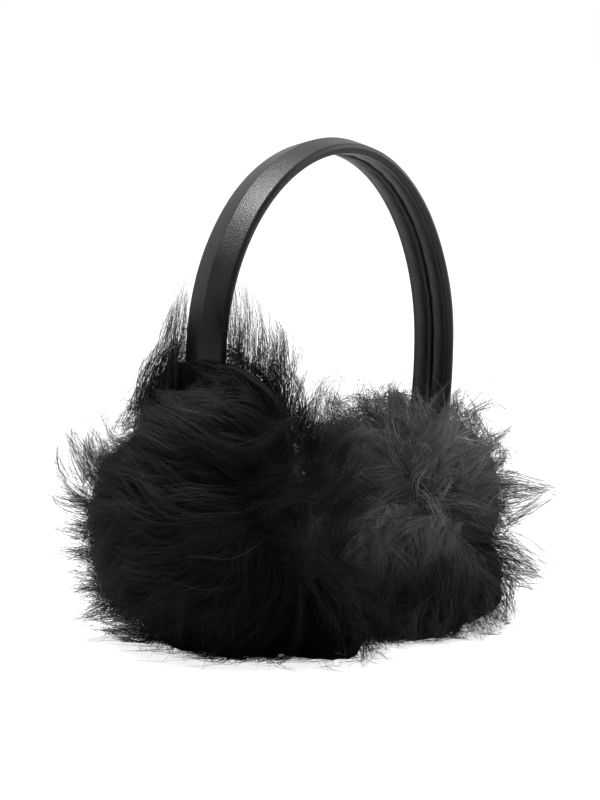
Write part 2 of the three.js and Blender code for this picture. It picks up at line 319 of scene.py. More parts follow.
def leather(name, deep, worn, roughness, relief):
    """Black leather: its deep colour, the colour where it is rubbed, its roughness and its grain's depth."""
    material = bpy.data.materials.new(name)
    material.use_nodes = True
    t = Tree(material.node_tree)
    hide = t.add("ShaderNodeGroup", node_tree=grain_tree).outputs
    colour = t.add("ShaderNodeValToRGB", {"Fac": hide["Wear"]})
    colour.color_ramp.elements[0].position = 0.35
    colour.color_ramp.elements[0].color = (*deep, 1)
    colour.color_ramp.elements[1].position = 0.75
    colour.color_ramp.elements[1].color = (*worn, 1)
    rough = t.ranged(hide["Wear"], 0.3, 0.7, roughness - 0.07, roughness + 0.08)
    bump = t.add("ShaderNodeBump", {"Height": hide["Height"], "Strength": relief, "Distance": 0.00015})
    surface = material.node_tree.nodes["Principled BSDF"]
    t.tree.links.new(colour.outputs["Color"], surface.inputs["Base Color"])
    t.tree.links.new(rough, surface.inputs["Roughness"])
    t.tree.links.new(bump.outputs["Normal"], surface.inputs["Normal"])
    return material


band_leather = leather("band_leather", (0.0108, 0.0096, 0.0092), (0.0215, 0.0196, 0.0188), 0.38, 0.7)
seam_leather = leather("seam_leather", (0.0140, 0.0128, 0.0122), (0.0320, 0.0290, 0.0275), 0.5, 0.4)
print("Leathers:", band_leather.name, seam_leather.name)

# %% [markdown]
# ## The headband
#
# The band is a strip of padding in a leather sleeve. Its outer face rises to a soft ridge, its edges are
# round, and its inner face is flat with a furrow for the seam. A sweep makes it: one section, carried along
# the arch. The section and the arch have the sizes of the frame's solid, but finer steps, and the sweep
# adds what a padded sleeve shows: the ridge wanders a little, and the flat inner face puckers at the seam.

# %% The arch
MIDDLE_X = 4.3 * MM
BAND_Y = -5.8 * MM
HALF_SPAN, WIDEST_Z, ARCH_RISE = 78.6 * MM, 126 * MM, 90 * MM
TOP_LEAN = 2.6 * MM
LEG_RADIUS = 200 * MM
LEG_END_Z, SEAM_END_Z = 62 * MM, 84 * MM


def arch(end_z, stations):
    """Evenly spaced points of the band's centre line and the outward direction at each, as (x, z) pairs."""
    leg_angle = np.linspace(math.asin((WIDEST_Z - end_z) / LEG_RADIUS), 0, 200, endpoint=False)
    leg = np.stack([
        HALF_SPAN - LEG_RADIUS * (1 - np.cos(leg_angle)),
        WIDEST_Z - LEG_RADIUS * np.sin(leg_angle),
    ], 1)
    angle = np.linspace(0, math.pi / 2, 400)
    quarter = np.stack([HALF_SPAN * np.cos(angle), WIDEST_Z + ARCH_RISE * np.sin(angle)], 1)
    half = np.concatenate([leg, quarter])
    line = np.concatenate([half, half[-2::-1] * (-1, 1)])
    line[:, 0] += TOP_LEAN * np.clip((line[:, 1] - WIDEST_Z) / ARCH_RISE, 0, 1) ** 3
    run = np.concatenate([[0], np.cumsum(np.linalg.norm(np.diff(line, axis=0), axis=1))])
    even = np.linspace(0, run[-1], stations)
    centre = np.stack([np.interp(even, run, line[:, k]) for k in (0, 1)], 1)
    tangent = np.gradient(centre, axis=0)
    tangent /= np.linalg.norm(tangent, axis=1, keepdims=True)
    return centre, np.stack([tangent[:, 1], -tangent[:, 0]], 1), run[-1]


print("The arch is", round(arch(LEG_END_Z, 9)[2] / MM), "mm long")

# %% [markdown]
# The section is drawn once round in short quadratic curves: over the crown, round the edge, and along the
# inner face into the furrow. Its other half is the mirror image.

# %% The band's section
# All in millimetres. Levels are measured outwards from the centre line.
BAND_HALF_WIDTH, EDGE_BULGE = 9.9, 1.9  # to where the round edge starts, and out to that edge's control point
RIDGE, SHOULDER, INNER_FACE = 3.95, 1.5, -2.9
CROWN_FULLNESS = 0.57
INNER_BEVEL = 0.9
INNER_SWELL, SWELL_AT = 1.1, 4.6  # the inner face's control point, and how far it is from the middle
FURROW_LIP, FURROW_HALF_WIDTH, FURROW_FOOT, FURROW_FLOOR = 1.9, 1.3, 1.25, -2.2


def curve_between(start, control, end, count):
    """Points of a quadratic curve, without its last."""
    t = np.arange(count)[:, None] / count
    return (1 - t) ** 2 * np.array(start) + 2 * t * (1 - t) * np.array(control) + t**2 * np.array(end)


def band_section():
    """The band's section as (out, across) pairs, once round."""
    half, inner, floor = BAND_HALF_WIDTH, INNER_FACE, FURROW_FLOOR
    crown = SHOULDER + CROWN_FULLNESS * (RIDGE - SHOULDER)
    edge = (SHOULDER + inner) / 2
    right = np.concatenate([
        curve_between((RIDGE, 0), (crown, half / 2), (SHOULDER, half), 16),
        curve_between((SHOULDER, half), (edge, half + EDGE_BULGE), (inner + INNER_BEVEL / 2, half), 12),
        curve_between((inner + INNER_BEVEL / 2, half), (inner, half), (inner, half - INNER_BEVEL * 2), 5),
        curve_between((inner, half - INNER_BEVEL * 2), (inner - INNER_SWELL, SWELL_AT), (inner, FURROW_LIP), 8),
        curve_between((inner, FURROW_LIP), (inner, FURROW_HALF_WIDTH), (floor, FURROW_FOOT), 4),
        curve_between((floor, FURROW_FOOT), (floor, 0.6), (floor, 0), 3),
    ])
    left = right[:0:-1] * (1, -1)
    return np.concatenate([right, [[floor, 0]], left]) * MM


SECTION = band_section()
outline = np.linalg.norm(SECTION - np.roll(SECTION, 1, axis=0), axis=1).sum()
print("Section:", len(SECTION), "points,", round(2 * SECTION[:, 1].max() / MM, 1), "mm wide,",
      round(outline / MM, 1), "mm round")

# %% [markdown]
# The sweep sets a copy of the section at even steps along the arch and joins the copies with quads.

# %% The sweep


def sweep(section_at, stations, end_z):
    """Carries a section along the arch. section_at(share) gives its (out, across) pairs."""
    centre, out, _ = arch(end_z, stations)
    rings = []
    for k in range(stations):
        section = section_at(k / (stations - 1))
        rings.append(np.stack([
            MIDDLE_X + centre[k, 0] + out[k, 0] * section[:, 0],
            BAND_Y + section[:, 1],
            centre[k, 1] + out[k, 1] * section[:, 0],
        ], 1))
    return np.concatenate(rings)


def tube_faces(rings, around):
    """Quads between rings and a cap at each end."""
    faces = [
        (r * around + (a + 1) % around, r * around + a, (r + 1) * around + a, (r + 1) * around + (a + 1) % around)
        for r in range(rings - 1) for a in range(around)
    ]
    faces.append(tuple(range(around)))
    faces.append(tuple((rings - 1) * around + a for a in reversed(range(around))))
    return faces


# %% [markdown]
# The sleeve is the section with a maker's unevenness: the ridge isn't quite straight, and the leather is
# drawn into small puckers beside the seam.

# %% The leather sleeve
BAND_STATIONS = 200
RIDGE_WANDER = 0.35 * MM
PUCKER, PUCKER_FROM_SEAM, PUCKER_WIDTH = 0.16 * MM, 3 * MM, 1.6 * MM


def padded_section(share):
    """The section at a share of the band's length, with the sleeve's small unevenness."""
    section = SECTION.copy()
    sway = RIDGE_WANDER * math.sin(21 * share + 0.6) + 0.2 * MM * math.sin(53 * share)
    crown = np.clip(section[:, 0] / (RIDGE * MM), 0, 1)
    section[:, 1] += sway * crown
    inner_side = section[:, 0] < -2.5 * MM
    near_seam = np.exp(-((np.abs(section[:, 1]) - PUCKER_FROM_SEAM) / PUCKER_WIDTH) ** 2) * inner_side
    section[:, 0] += PUCKER * near_seam * math.sin(190 * share + 2 * math.sin(17 * share))
    return section


headband = mesh_object(
    "headband_sleeve", sweep(padded_section, BAND_STATIONS, LEG_END_Z),
    tube_faces(BAND_STATIONS, len(SECTION)), band_leather,
)
print("Headband:", len(headband.data.polygons), "faces")

# %% [markdown]
# ## The seam
#
# The sleeve is closed down the middle of its inner face. The hide's edge is rolled there into a thin raised
# bead, and a waxed thread crosses it in small slanted stitches. The bead is a sweep like the band. The
# stitches repeat along a path, so a Geometry Nodes tree sets one stitch at even steps and turns each to the
# path.

# %% The rolled edge
SEAM_STATIONS = 360
BEAD_AROUND = 10
BEAD_LEVEL, BEAD_HALF_HEIGHT, BEAD_HALF_WIDTH = -3.1 * MM, 0.6 * MM, 0.85 * MM
bead_angle = 2 * np.pi * np.arange(BEAD_AROUND) / BEAD_AROUND


def bead_section(share):
    """The bead's section at a share of its length, as (out, across) pairs."""
    wander = 0.10 * MM * math.sin(240 * share) + 0.12 * MM * math.sin(61 * share + 1)
    return np.stack([
        BEAD_LEVEL + BEAD_HALF_HEIGHT * np.cos(bead_angle), wander + BEAD_HALF_WIDTH * np.sin(bead_angle),
    ], 1)


seam = mesh_object(
    "headband_seam_bead", sweep(bead_section, SEAM_STATIONS, SEAM_END_Z),
    tube_faces(SEAM_STATIONS, BEAD_AROUND), seam_leather,
)
print("Seam bead:", len(seam.data.polygons), "faces")

# %% [markdown]
# The thread is waxed and twisted from plies. The plies are too fine to model, so a wave gives them, in the
# colour and in a bump.

# %% The thread's material
THREAD = bpy.data.materials.new("waxed_thread")
THREAD.use_nodes = True
t = Tree(THREAD.node_tree)
twist = t.add("ShaderNodeTexWave", {
    "Vector": t.add("ShaderNodeTexCoord").outputs["Object"], "Scale": 900.0, "Distortion": 1.5,
})
ply = t.add("ShaderNodeValToRGB", {"Fac": twist.outputs["Fac"]})
ply.color_ramp.elements[0].color = (0.010, 0.010, 0.011, 1)
ply.color_ramp.elements[1].color = (0.045, 0.044, 0.045, 1)
bump = t.add("ShaderNodeBump", {"Height": twist.outputs["Fac"], "Strength": 0.5, "Distance": 0.0001})
surface = THREAD.node_tree.nodes["Principled BSDF"]
surface.inputs["Roughness"].default_value = 0.55
t.tree.links.new(ply.outputs["Color"], surface.inputs["Base Color"])
t.tree.links.new(bump.outputs["Normal"], surface.inputs["Normal"])

print("Thread:", THREAD.name)

# %% [markdown]
# One stitch is a shallow arc of thread, bowed off the leather and slanted across the bead. The tree below
# turns the path into a curve, sets points on it at even steps, and puts the stitch on each point.

# %% The stitch tree
stitch_tree = group("stitches_on_path", "GeometryNodeTree", [
    ("Path", "INPUT", "NodeSocketGeometry"),
    ("Step", "INPUT", "NodeSocketFloat", 2.6 * MM, 0.0, 1.0),
    ("Stitch Length", "INPUT", "NodeSocketFloat", 2.0 * MM, 0.0, 1.0),
    ("Thread Radius", "INPUT", "NodeSocketFloat", 0.16 * MM, 0.0, 1.0),
    ("Slant", "INPUT", "NodeSocketFloat", 0.6, -3.2, 3.2),
    ("Material", "INPUT", "NodeSocketMaterial"),
    ("Stitches", "OUTPUT", "NodeSocketGeometry"),
])
g = Tree(stitch_tree)
given = g.add("NodeGroupInput").outputs
path = g.add("GeometryNodeMeshToCurve", {"Mesh": given["Path"]}).outputs[0]
dots = g.add("GeometryNodeCurveToPoints", {"Curve": path, "Length": given["Step"]}, mode="LENGTH")
half = g.math("MULTIPLY", given["Stitch Length"], 0.5)
run = g.add("ShaderNodeCombineXYZ", {
    "X": g.math("MULTIPLY", half, g.math("SINE", given["Slant"])),
    "Z": g.math("MULTIPLY", half, g.math("COSINE", given["Slant"])),
}).outputs[0]
arc = g.add("GeometryNodeCurveQuadraticBezier", {
    "Resolution": 5,
    "Start": g.scaled(run, -1.0),
    "Middle": g.add("ShaderNodeCombineXYZ", {"Y": g.math("MULTIPLY", given["Thread Radius"], 2.5)}).outputs[0],
    "End": run,
}).outputs[0]
ring = g.add("GeometryNodeCurvePrimitiveCircle", {"Resolution": 6, "Radius": given["Thread Radius"]}).outputs[0]
stitch = g.add("GeometryNodeCurveToMesh", {"Curve": arc, "Profile Curve": ring, "Fill Caps": True}).outputs[0]
placed = g.add("GeometryNodeInstanceOnPoints", {
    "Points": dots.outputs["Points"], "Instance": stitch, "Rotation": dots.outputs["Rotation"],
}).outputs[0]
real = g.add("GeometryNodeRealizeInstances", {"Geometry": placed}).outputs[0]
finish = g.add("GeometryNodeSetMaterial", {"Geometry": real, "Material": given["Material"]}).outputs[0]
g.add("NodeGroupOutput", {"Stitches": finish})
print("Made the tree", stitch_tree.name)

# %% [markdown]
# The path runs a hair's breadth below the top of the bead, so each stitch sits in it as pulled thread does.

# %% Sew the seam
STITCH_LEVEL = 3.62  # in millimetres, from the centre line to the inside
STITCH_PATH_POINTS = 500
centre, out, _ = arch(SEAM_END_Z, STITCH_PATH_POINTS)
stitch_path = np.stack([
    MIDDLE_X + centre[:, 0] - out[:, 0] * STITCH_LEVEL * MM, np.full(len(centre), BAND_Y),
    centre[:, 1] - out[:, 1] * STITCH_LEVEL * MM,
], 1)
stitch_guide = line_object(
    "headband_stitches", stitch_path, [(k, k + 1) for k in range(STITCH_PATH_POINTS - 1)],
)
modifier = stitch_guide.modifiers.new("stitches", "NODES")
modifier.node_group = stitch_tree
set_inputs(modifier, material=THREAD)
stitches = settled(stitch_guide, "headband_stitches")
print("Stitches:", len(stitches.data.polygons), "faces")

# %% [markdown]
# ## The cups and their masses of fur
#
# The inside of a cup is hidden by its fur. It is taken here as two panels, back to back, with the band's end
# between them. A panel is two or three rounded masses. A mass is easy to write as a number: it is under 1
# inside and over 1 outside. From that number come the surface and the way out of it. The way that the hair
# lies is away from the whorl. The masses have the places and sizes of the frame's solids, and so do all
# whorls but those of the two masses at the foot, each the last of an inner panel.

# %% The masses, in each cup's own frame
CUP_X, CUP_Z, CUP_LEAN = 67 * MM, 58 * MM, math.radians(14)
SQUARENESS = 2.5
PANEL_GAP = 0.3 * MM
MASSES = {
    # centre out, y, z; depth, back, front, rise, drop; whorl out, y, z; all in millimetres
    "left_fur_outer": [
        (0, 0, -6, 41, 65, 43, 50, 58, 4, -42, 12),
        (0, 0, 38, 25, 31, 44, 23, 34, 5, -43, 36),
    ],
    "left_fur_inner": [
        (0, 0, -6, 31, 62, 43, 50, 58, 9, -40, 12),
        (0, 0, 40, 20, 28, 46, 33, 36, 6, -44, 40),
        (14, -26, -44, 20, 24, 28, 26, 30, 4, -30, 0),
    ],
    "right_fur_inner": [
        (0, 0, -10, 32, 56, 42, 44, 54, 26, -22, 4),
        (0, 0, -40, 31, 46, 56, 26, 24, 26, -18, -16),
        (34, -28, -46, 24, 26, 29, 32, 30, 10, -20, -10),
    ],
    "right_fur_outer": [
        (0, 0, -10, 33, 55, 42, 43, 54, 28, -10, 12),
        (0, 0, -40, 28, 46, 53, 24, 24, 10, -10, -18),
    ],
}
print("Masses:", {node: len(rows) for node, rows in MASSES.items()})

# %% [markdown]
# A panel answers the questions that the combing will ask: how far out is this place, which way is out, and
# which way does the hair lie here?

# %% One panel, as numbers
SLOPE_STEP = 0.5 * MM
PILE_STEP = 0.02  # from a place to the next one along the pile, on a mass of radius 1


class Panel:
    """One panel of fur: its masses, and the cup's frame that they are given in."""

    def __init__(self, node):
        self.node = node
        self.side = -1 if node.startswith("left") else 1
        self.out = self.side * (1 if node.endswith("outer") else -1)
        rows = np.array(MASSES[node]) * MM
        self.centres = rows[:, :3] * (self.out, 1, 1)
        self.reaches = rows[:, 3:8]
        self.whorls = rows[:, 8:] * (self.out, 1, 1)
        c, s = math.cos(self.side * CUP_LEAN), math.sin(self.side * CUP_LEAN)
        self.turn = np.array([[c, 0, s], [0, 1, 0], [-s, 0, c]])
        self.middle = np.array([MIDDLE_X + self.side * CUP_X, BAND_Y, CUP_Z])

    def to_world(self, local):
        return local @ self.turn.T + self.middle

    def to_cup(self, world):
        return (world - self.middle) @ self.turn

    def axes(self, row, way):
        """The mass's half axes on the side that each direction points to."""
        depth, back, front, rise, drop = self.reaches[row]
        return np.stack([
            np.full(len(way), depth), np.where(way[:, 1] > 0, back, front), np.where(way[:, 2] > 0, rise, drop),
        ], 1)

    def unit(self, row, local):
        """A place measured in the mass's own half axes, from its middle."""
        off = local - self.centres[row]
        return off / self.axes(row, off)

    @staticmethod
    def level(unit):
        """Under 1 inside the mass, 1 on its surface."""
        outline = (np.abs(unit[:, 1]) ** SQUARENESS + np.abs(unit[:, 2]) ** SQUARENESS) ** (1 / SQUARENESS)
        return np.hypot(unit[:, 0], outline)

    def surface(self, row, unit):
        """The point of the mass's surface in this direction."""
        unit = unit / self.level(unit)[:, None]
        return self.centres[row] + unit * self.axes(row, unit)

    def whorl(self, row):
        """The direction of the whorl, in the mass's half axes."""
        way = self.unit(row, self.whorls[row][None])[0]
        return way / np.linalg.norm(way)

    def height(self, row, local):
        """How far a place is outside the mass's surface, roughly, and the way out of it."""
        level = self.level(self.unit(row, local))
        slope = np.stack([
            (self.level(self.unit(row, local + nudge)) - self.level(self.unit(row, local - nudge)))
            / (2 * SLOPE_STEP)
            for nudge in SLOPE_STEP * np.eye(3)
        ], 1)
        steepness = np.maximum(np.linalg.norm(slope, axis=1), 1e-6)
        return (level - 1) / steepness, slope / steepness[:, None]

    def pile(self, row, local):
        """The way that the hair lies on the mass, away from the whorl."""
        unit = self.unit(row, local)
        unit /= np.linalg.norm(unit, axis=1, keepdims=True)
        whorl = self.whorl(row)
        onwards = unit * (unit @ whorl)[:, None] - whorl
        onwards /= np.maximum(np.linalg.norm(onwards, axis=1, keepdims=True), 1e-6)
        way = self.surface(row, unit + PILE_STEP * onwards) - self.surface(row, unit)
        return way / np.maximum(np.linalg.norm(way, axis=1, keepdims=True), 1e-9)

    def around_whorl(self, row, unit):
        """The turn about the mass's whorl and the angle from it."""
        whorl = self.whorl(row)
        side = np.cross(whorl, [0.3, 0.1, 1.0])
        side /= np.linalg.norm(side)
        over = np.cross(whorl, side)
        unit = unit / np.linalg.norm(unit, axis=1, keepdims=True)
        return np.arctan2(unit @ side, unit @ over), np.arccos(np.clip(unit @ whorl, -1, 1))


panels = {node: Panel(node) for node in MASSES}
print("Panels:", ", ".join(panels))

# %% [markdown]
# ## The colour of black fur
#
# Black fur isn't one black. The wool near the skin is the deepest, and over that light and shade are painted into
# the coat as a lightness for each place: darker near the table, which is painted shade; lighter higher up the cup,
# which is painted light; and lighter on the right cup and round some whorls, most round that of the right cup's
# inner panel, which is painted sheen of hairs that stand up. The wool and the hair both use it. It is a choice of
# colour, so it shows from every side.

# %% The coat's lightness, with painted sheen, shade and light
COAT_TONE_WITH_PAINTED_LIGHT = {
    # everywhere, where the right cup's higher values are painted sheen; and how far painted shade darkens it towards
    # the table
    "left_fur_outer": (0.28, 1.0),
    "left_fur_inner": (0.25, 1.0),
    "right_fur_inner": (0.85, 0.25),
    "right_fur_outer": (0.50, 0.6),
}
PAINTED_SHEEN_SPOTS = {
    # painted sheen, where the hair stands up: out, y, z, reach, extra; in the cup's frame and millimetres
    "left_fur_inner": [(9, -42, 12, 32, 0.35)],
    "right_fur_inner": [(28, -6, 8, 50, 2.2), (26, -26, 2, 34, 8.0)],
    "right_fur_outer": [(4, -56, 0, 40, 2.6)],
}
# painted shade and light: darker towards the table, lighter high up the cup
PAINTED_SHADE_AND_LIGHT_BY_HEIGHT = ([0.0, 0.03, 0.06, 0.11], [0.12, 0.45, 1.0, 1.35])


def coat_tone_with_painted_light(panel, local):
    """How light the coat is at places in the cup's frame, with its painted sheen, shade and light."""
    everywhere, fade = COAT_TONE_WITH_PAINTED_LIGHT[panel.node]
    light = np.full(local.shape[:-1], everywhere)
    # painted sheen round the spots
    for out, y, z, reach, extra in PAINTED_SHEEN_SPOTS.get(panel.node, []):
        away = np.linalg.norm(local - np.array([panel.out * out, y, z]) * MM, axis=-1)
        light += extra * np.exp(-((away / (reach * MM)) ** 2))
    # painted shade near the table and painted light high up
    height = panel.to_world(local.reshape(-1, 3))[:, 2].reshape(local.shape[:-1])
    return light * (1 + fade * (np.interp(height, *PAINTED_SHADE_AND_LIGHT_BY_HEIGHT) - 1))


for node, panel in panels.items():
    print(node, "lightness at the cup's middle:", round(float(coat_tone_with_painted_light(panel, np.zeros((1, 3)))[0]), 2))


# %% [markdown]
# ## The pelts
#
# Under the long hair lies a dense coat of short wool, in broad soft locks. It is one closed form per panel:
# the masses with a relief of locks, melted into one by a voxel remesh, and pressed flat where the panel meets
# the other panel and the table. The fine strands of the wool are too many to model. They are a noise that is
# fine across the pile and long along it: each point of the form carries its turn about the whorl and its
# distance from it, and the noise is read at that place.

# %% Pelt material


def pelt_material():
    """Black wool whose strands follow the pile, by the flow and lightness that its mesh carries, the lightness with
    its painted sheen, shade and light.
    """
    material = bpy.data.materials.new("under_wool")
    material.use_nodes = True
    t = Tree(material.node_tree)
    flow = t.add("ShaderNodeAttribute", attribute_name="flow").outputs["Vector"]
    light = t.add("ShaderNodeAttribute", attribute_name="light").outputs["Fac"]
    place = t.add("ShaderNodeTexCoord").outputs["Object"]
    bend = t.add("ShaderNodeTexNoise", {"Vector": place, "Scale": 60.0, "Detail": 1.0}).outputs["Color"]
    bent = t.vector("ADD", flow, t.scaled(t.vector("SUBTRACT", bend, (0.5, 0.5, 0.5)), 0.35))
    strand = t.add("ShaderNodeTexNoise", {"Vector": bent, "Scale": 55.0, "Detail": 3.0}).outputs[0]
    lock = t.add("ShaderNodeTexNoise", {"Vector": bent, "Scale": 11.0, "Detail": 1.0}).outputs[0]
    both = t.math("MULTIPLY", strand, t.ranged(lock, 0.3, 0.7, 0.5, 1.3))
    # the wool's colour takes the coat's painted sheen, shade and light from its lightness
    colour = t.add("ShaderNodeValToRGB", {"Fac": t.math("MULTIPLY", both, t.math("MULTIPLY", light, 1.6))})
    colour.color_ramp.elements[0].position = 0.04
    colour.color_ramp.elements[0].color = (0.0012, 0.0012, 0.0013, 1)
    colour.color_ramp.elements[1].position = 1.0
    colour.color_ramp.elements[1].color = (0.070, 0.070, 0.072, 1)
    bump = t.add("ShaderNodeBump", {"Height": both, "Strength": 1.0, "Distance": 0.0012})
    surface = material.node_tree.nodes["Principled BSDF"]
    surface.inputs["Roughness"].default_value = 0.75
    surface.inputs["Specular IOR Level"].default_value = 0.15
    t.tree.links.new(colour.outputs["Color"], surface.inputs["Base Color"])
    t.tree.links.new(bump.outputs["Normal"], surface.inputs["Normal"])
    return material


UNDER_WOOL = pelt_material()
print("Wool:", UNDER_WOOL.name)

# %% [markdown]
# Each mass starts as a unit ball, which is then carried to the mass's own surface.

# %% A ball to start from


def ball(rings, around):
    """A unit ball: its points, with the poles along Y, and its faces."""
    theta = np.pi * (np.arange(1, rings)) / rings
    phi = 2 * np.pi * np.arange(around) / around
    grid = np.stack([
        np.outer(np.sin(theta), np.cos(phi)), np.outer(np.cos(theta), np.ones(around)),
        np.outer(np.sin(theta), np.sin(phi)),
    ], 2).reshape(-1, 3)
    points = np.concatenate([[[0, 1, 0]], grid, [[0, -1, 0]]])
    last = len(points) - 1
    faces = [(0, 1 + a, 1 + (a + 1) % around) for a in range(around)]
    for r in range(rings - 2):
        a, b = 1 + r * around, 1 + (r + 1) * around
        faces += [(a + k, b + k, b + (k + 1) % around, a + (k + 1) % around) for k in range(around)]
    end = 1 + (rings - 2) * around
    faces += [(last, end + (a + 1) % around, end + a) for a in range(around)]
    return points, faces


BALL_RINGS, BALL_AROUND = 60, 96
ball_points, ball_faces = ball(BALL_RINGS, BALL_AROUND)
print("Ball:", len(ball_faces), "faces")

# %% [markdown]
# The wool's relief is rows of locks side by side and tiers of them one behind the other. A voxel remesh melts
# the masses of a panel together.

# %% Masses with their relief
PELT_VOXEL = 2.4 * MM
PELT_DEPTH = -1.5 * MM  # the wool's mean surface, off the mass
LOCK_RELIEF, TIER_RELIEF = 1.6 * MM, 0.8 * MM
LOCKS_ROUND, TIERS = 17, 11


def wool_relief(panel, row, unit):
    """The height of the wool's locks, which run along the pile."""
    turn, far = panel.around_whorl(row, unit)
    lock = np.sin(LOCKS_ROUND * turn + 2.3 * np.sin(3.1 * far + 2 * turn)) * np.sin(far)
    tier = np.sin(TIERS * far + 3 * np.sin(5 * turn))
    return LOCK_RELIEF * lock + TIER_RELIEF * tier


def melted_masses(panel, name):
    """The panel's masses with their relief, as one closed mesh in the cup's frame."""
    points, faces, start = [], [], 0
    unit = ball_points / np.linalg.norm(ball_points, axis=1, keepdims=True)
    for row in range(len(panel.reaches)):
        skin = panel.surface(row, unit)
        out = panel.height(row, skin)[1]
        points.append(skin + out * (PELT_DEPTH + wool_relief(panel, row, unit))[:, None])
        faces += [tuple(start + i for i in face) for face in ball_faces]
        start += len(ball_points)
    form = mesh_object(name, np.concatenate(points), faces)
    remesh = form.modifiers.new("melt", "REMESH")
    remesh.mode = "VOXEL"
    remesh.voxel_size = PELT_VOXEL
    return settled(form, name)


# %% [markdown]
# The finished pelt carries its flow and lightness at its points. It is pressed flat on the cup's middle plane
# and on the table only after they are read, so the pressing doesn't disturb them.

# %% The pelts, one form for each panel


def flow_of(panel, local):
    """For each place: the turn about its mass's whorl, as a cosine and a sine, and the way from the whorl."""
    heights = np.array([panel.height(row, local)[0] for row in range(len(panel.reaches))])
    flow = np.zeros((len(local), 3))
    for row in range(len(heights)):
        mine = heights.argmin(0) == row
        turn, far = panel.around_whorl(row, panel.unit(row, local[mine]))
        flow[mine] = np.stack([np.cos(turn), np.sin(turn), 0.12 * far + 3 * row], 1)
    return flow


def pelt(panel):
    """The under-wool of a panel, one closed form."""
    form = melted_masses(panel, panel.node.replace("fur", "pelt"))
    local = np.empty(len(form.data.vertices) * 3, np.float32)
    form.data.vertices.foreach_get("co", local)
    local = local.reshape(-1, 3).astype(float)
    set_at_points(form.data, "flow", flow_of(panel, local))
    # the lightness, with its painted sheen, shade and light
    set_at_points(form.data, "light", coat_tone_with_painted_light(panel, local))
    local[:, 0] = panel.out * np.maximum(panel.out * local[:, 0], PANEL_GAP / 2)
    world = panel.to_world(local)
    world[:, 2] = np.maximum(world[:, 2], 0)
    form.data.vertices.foreach_set("co", world.astype(np.float32).ravel())
    form.data.update()
    form.data.materials.clear()
    form.data.materials.append(UNDER_WOOL)
    form.data.shade_smooth()
    return form


pelts = {node: pelt(panel) for node, panel in panels.items()}
for node, form in pelts.items():
    print(form.name, len(form.data.polygons), "faces")

# %% [markdown]
# ## Combing the fur
#
# Hair doesn't grow one by one to the eye: it gathers in locks. So the fur is combed as 200 to 600 guide lines
# per panel, and each guide later becomes a lock of 11 to 22 hairs. The roots come first: they are scattered
# evenly over the masses, off the other panel and above the table.

# %% Roots
OFF_OTHER_PANEL = 0.6 * MM
OFF_TABLE = 1 * MM
TRIES = 4  # places tried for each one that is wanted


def unit_rows(v):
    """Vectors brought to length 1."""
    return v / np.maximum(np.linalg.norm(v, axis=-1, keepdims=True), 1e-9)


def thinned(places, spacing):
    """Drops places that are nearer than a spacing to one kept before."""
    kept = np.empty((0, places.shape[1]))
    for place in places:
        if not len(kept) or np.min(np.linalg.norm(kept[:, :3] - place[:3], axis=1)) > spacing:
            kept = np.concatenate([kept, place[None]])
    return kept


def roots_on(panel, spacing, seed):
    """Places on the panel's surface about a spacing apart, each with the way out of the skin."""
    source = np.random.default_rng(seed)
    found = []
    for row in range(len(panel.reaches)):
        across, tall = panel.reaches[row][1:3].sum(), panel.reaches[row][3:].sum()
        count = int(TRIES * across * tall / spacing**2)
        skin = panel.surface(row, unit_rows(source.normal(size=(count, 3))))
        keep = panel.out * skin[:, 0] > OFF_OTHER_PANEL
        for other in range(len(panel.reaches)):
            if other != row:
                keep &= panel.height(other, skin)[0] > 0
        keep &= panel.to_world(skin)[:, 2] > OFF_TABLE
        found.append(np.concatenate([skin, panel.height(row, skin)[1]], 1)[keep])
    return thinned(np.concatenate(found), spacing)


for node, panel in panels.items():
    print(node, "takes", len(roots_on(panel, 10 * MM, 0)), "locks at 10 mm apart")

# %% [markdown]
# A guide starts in the skin and walks in short steps. At each step it turns towards the way the hair lies
# there, climbs or sinks to the height that its share of the length calls for, and keeps some of its old
# direction, because hair is springy. A slow swing makes neighbours swing together, and a sway of its own lets
# a lock cross the next one. In a few spots the fur is kept shorter, and everywhere it keeps above the table
# and inside a box that is a little larger than the solids.

# %% Where the fur is short, and how far it reaches
SHORT_SPOTS = {
    # where the fur is short: out, y, z, and the reach of the spot, in the cup's frame and millimetres
    "left_fur_outer": [(6, 54, 38, 22), (8, 38, 56, 20), (12, -2, 62, 18)],
    "left_fur_inner": [(4, 54, 38, 24), (6, 38, 56, 22), (8, 44, -54, 20)],
    "right_fur_inner": [(8, -44, -12, 12), (8, -50, -46, 16)],
    "right_fur_outer": [(10, -42, 14, 16), (14, -26, 34, 16), (14, -50, -50, 12)],
}
SHORT_SPOT_DEPTH = 0.8  # how much of its length the fur loses in the middle of such a spot
LEAST_PLACE = np.array([-0.1255, -0.0820, 0.0004])
MOST_PLACE = np.array([0.1235, 0.0825, 0.2250])
MASS_BLEND = 5 * MM  # how softly the pile of one mass goes over into the next one's


def blend_masses(panel, p):
    """The height over the nearest mass, the way out of the fur and the way it lies."""
    rows = range(len(panel.reaches))
    heights, ways = (np.array(v) for v in zip(*(panel.height(row, p) for row in rows)))
    piles = np.array([panel.pile(row, p) for row in rows])
    nearest = heights.min(0)
    weight = np.exp(-(heights - nearest) / MASS_BLEND)
    weight /= weight.sum(0)
    return nearest, unit_rows((weight[:, :, None] * ways).sum(0)), unit_rows((weight[:, :, None] * piles).sum(0))


def swing(p, seed):
    """A slow turn of the pile, alike for neighbours."""
    x, y, z = (p / MM).T
    return 0.36 * np.sin(x / 9 + y / 13 + seed) + 0.28 * np.sin(z / 8 - y / 11 + 2 * seed)


def on_table(panel, p):
    """The places, kept above the table and within the coat's reach."""
    return panel.to_cup(np.clip(panel.to_world(p), LEAST_PLACE, MOST_PLACE))


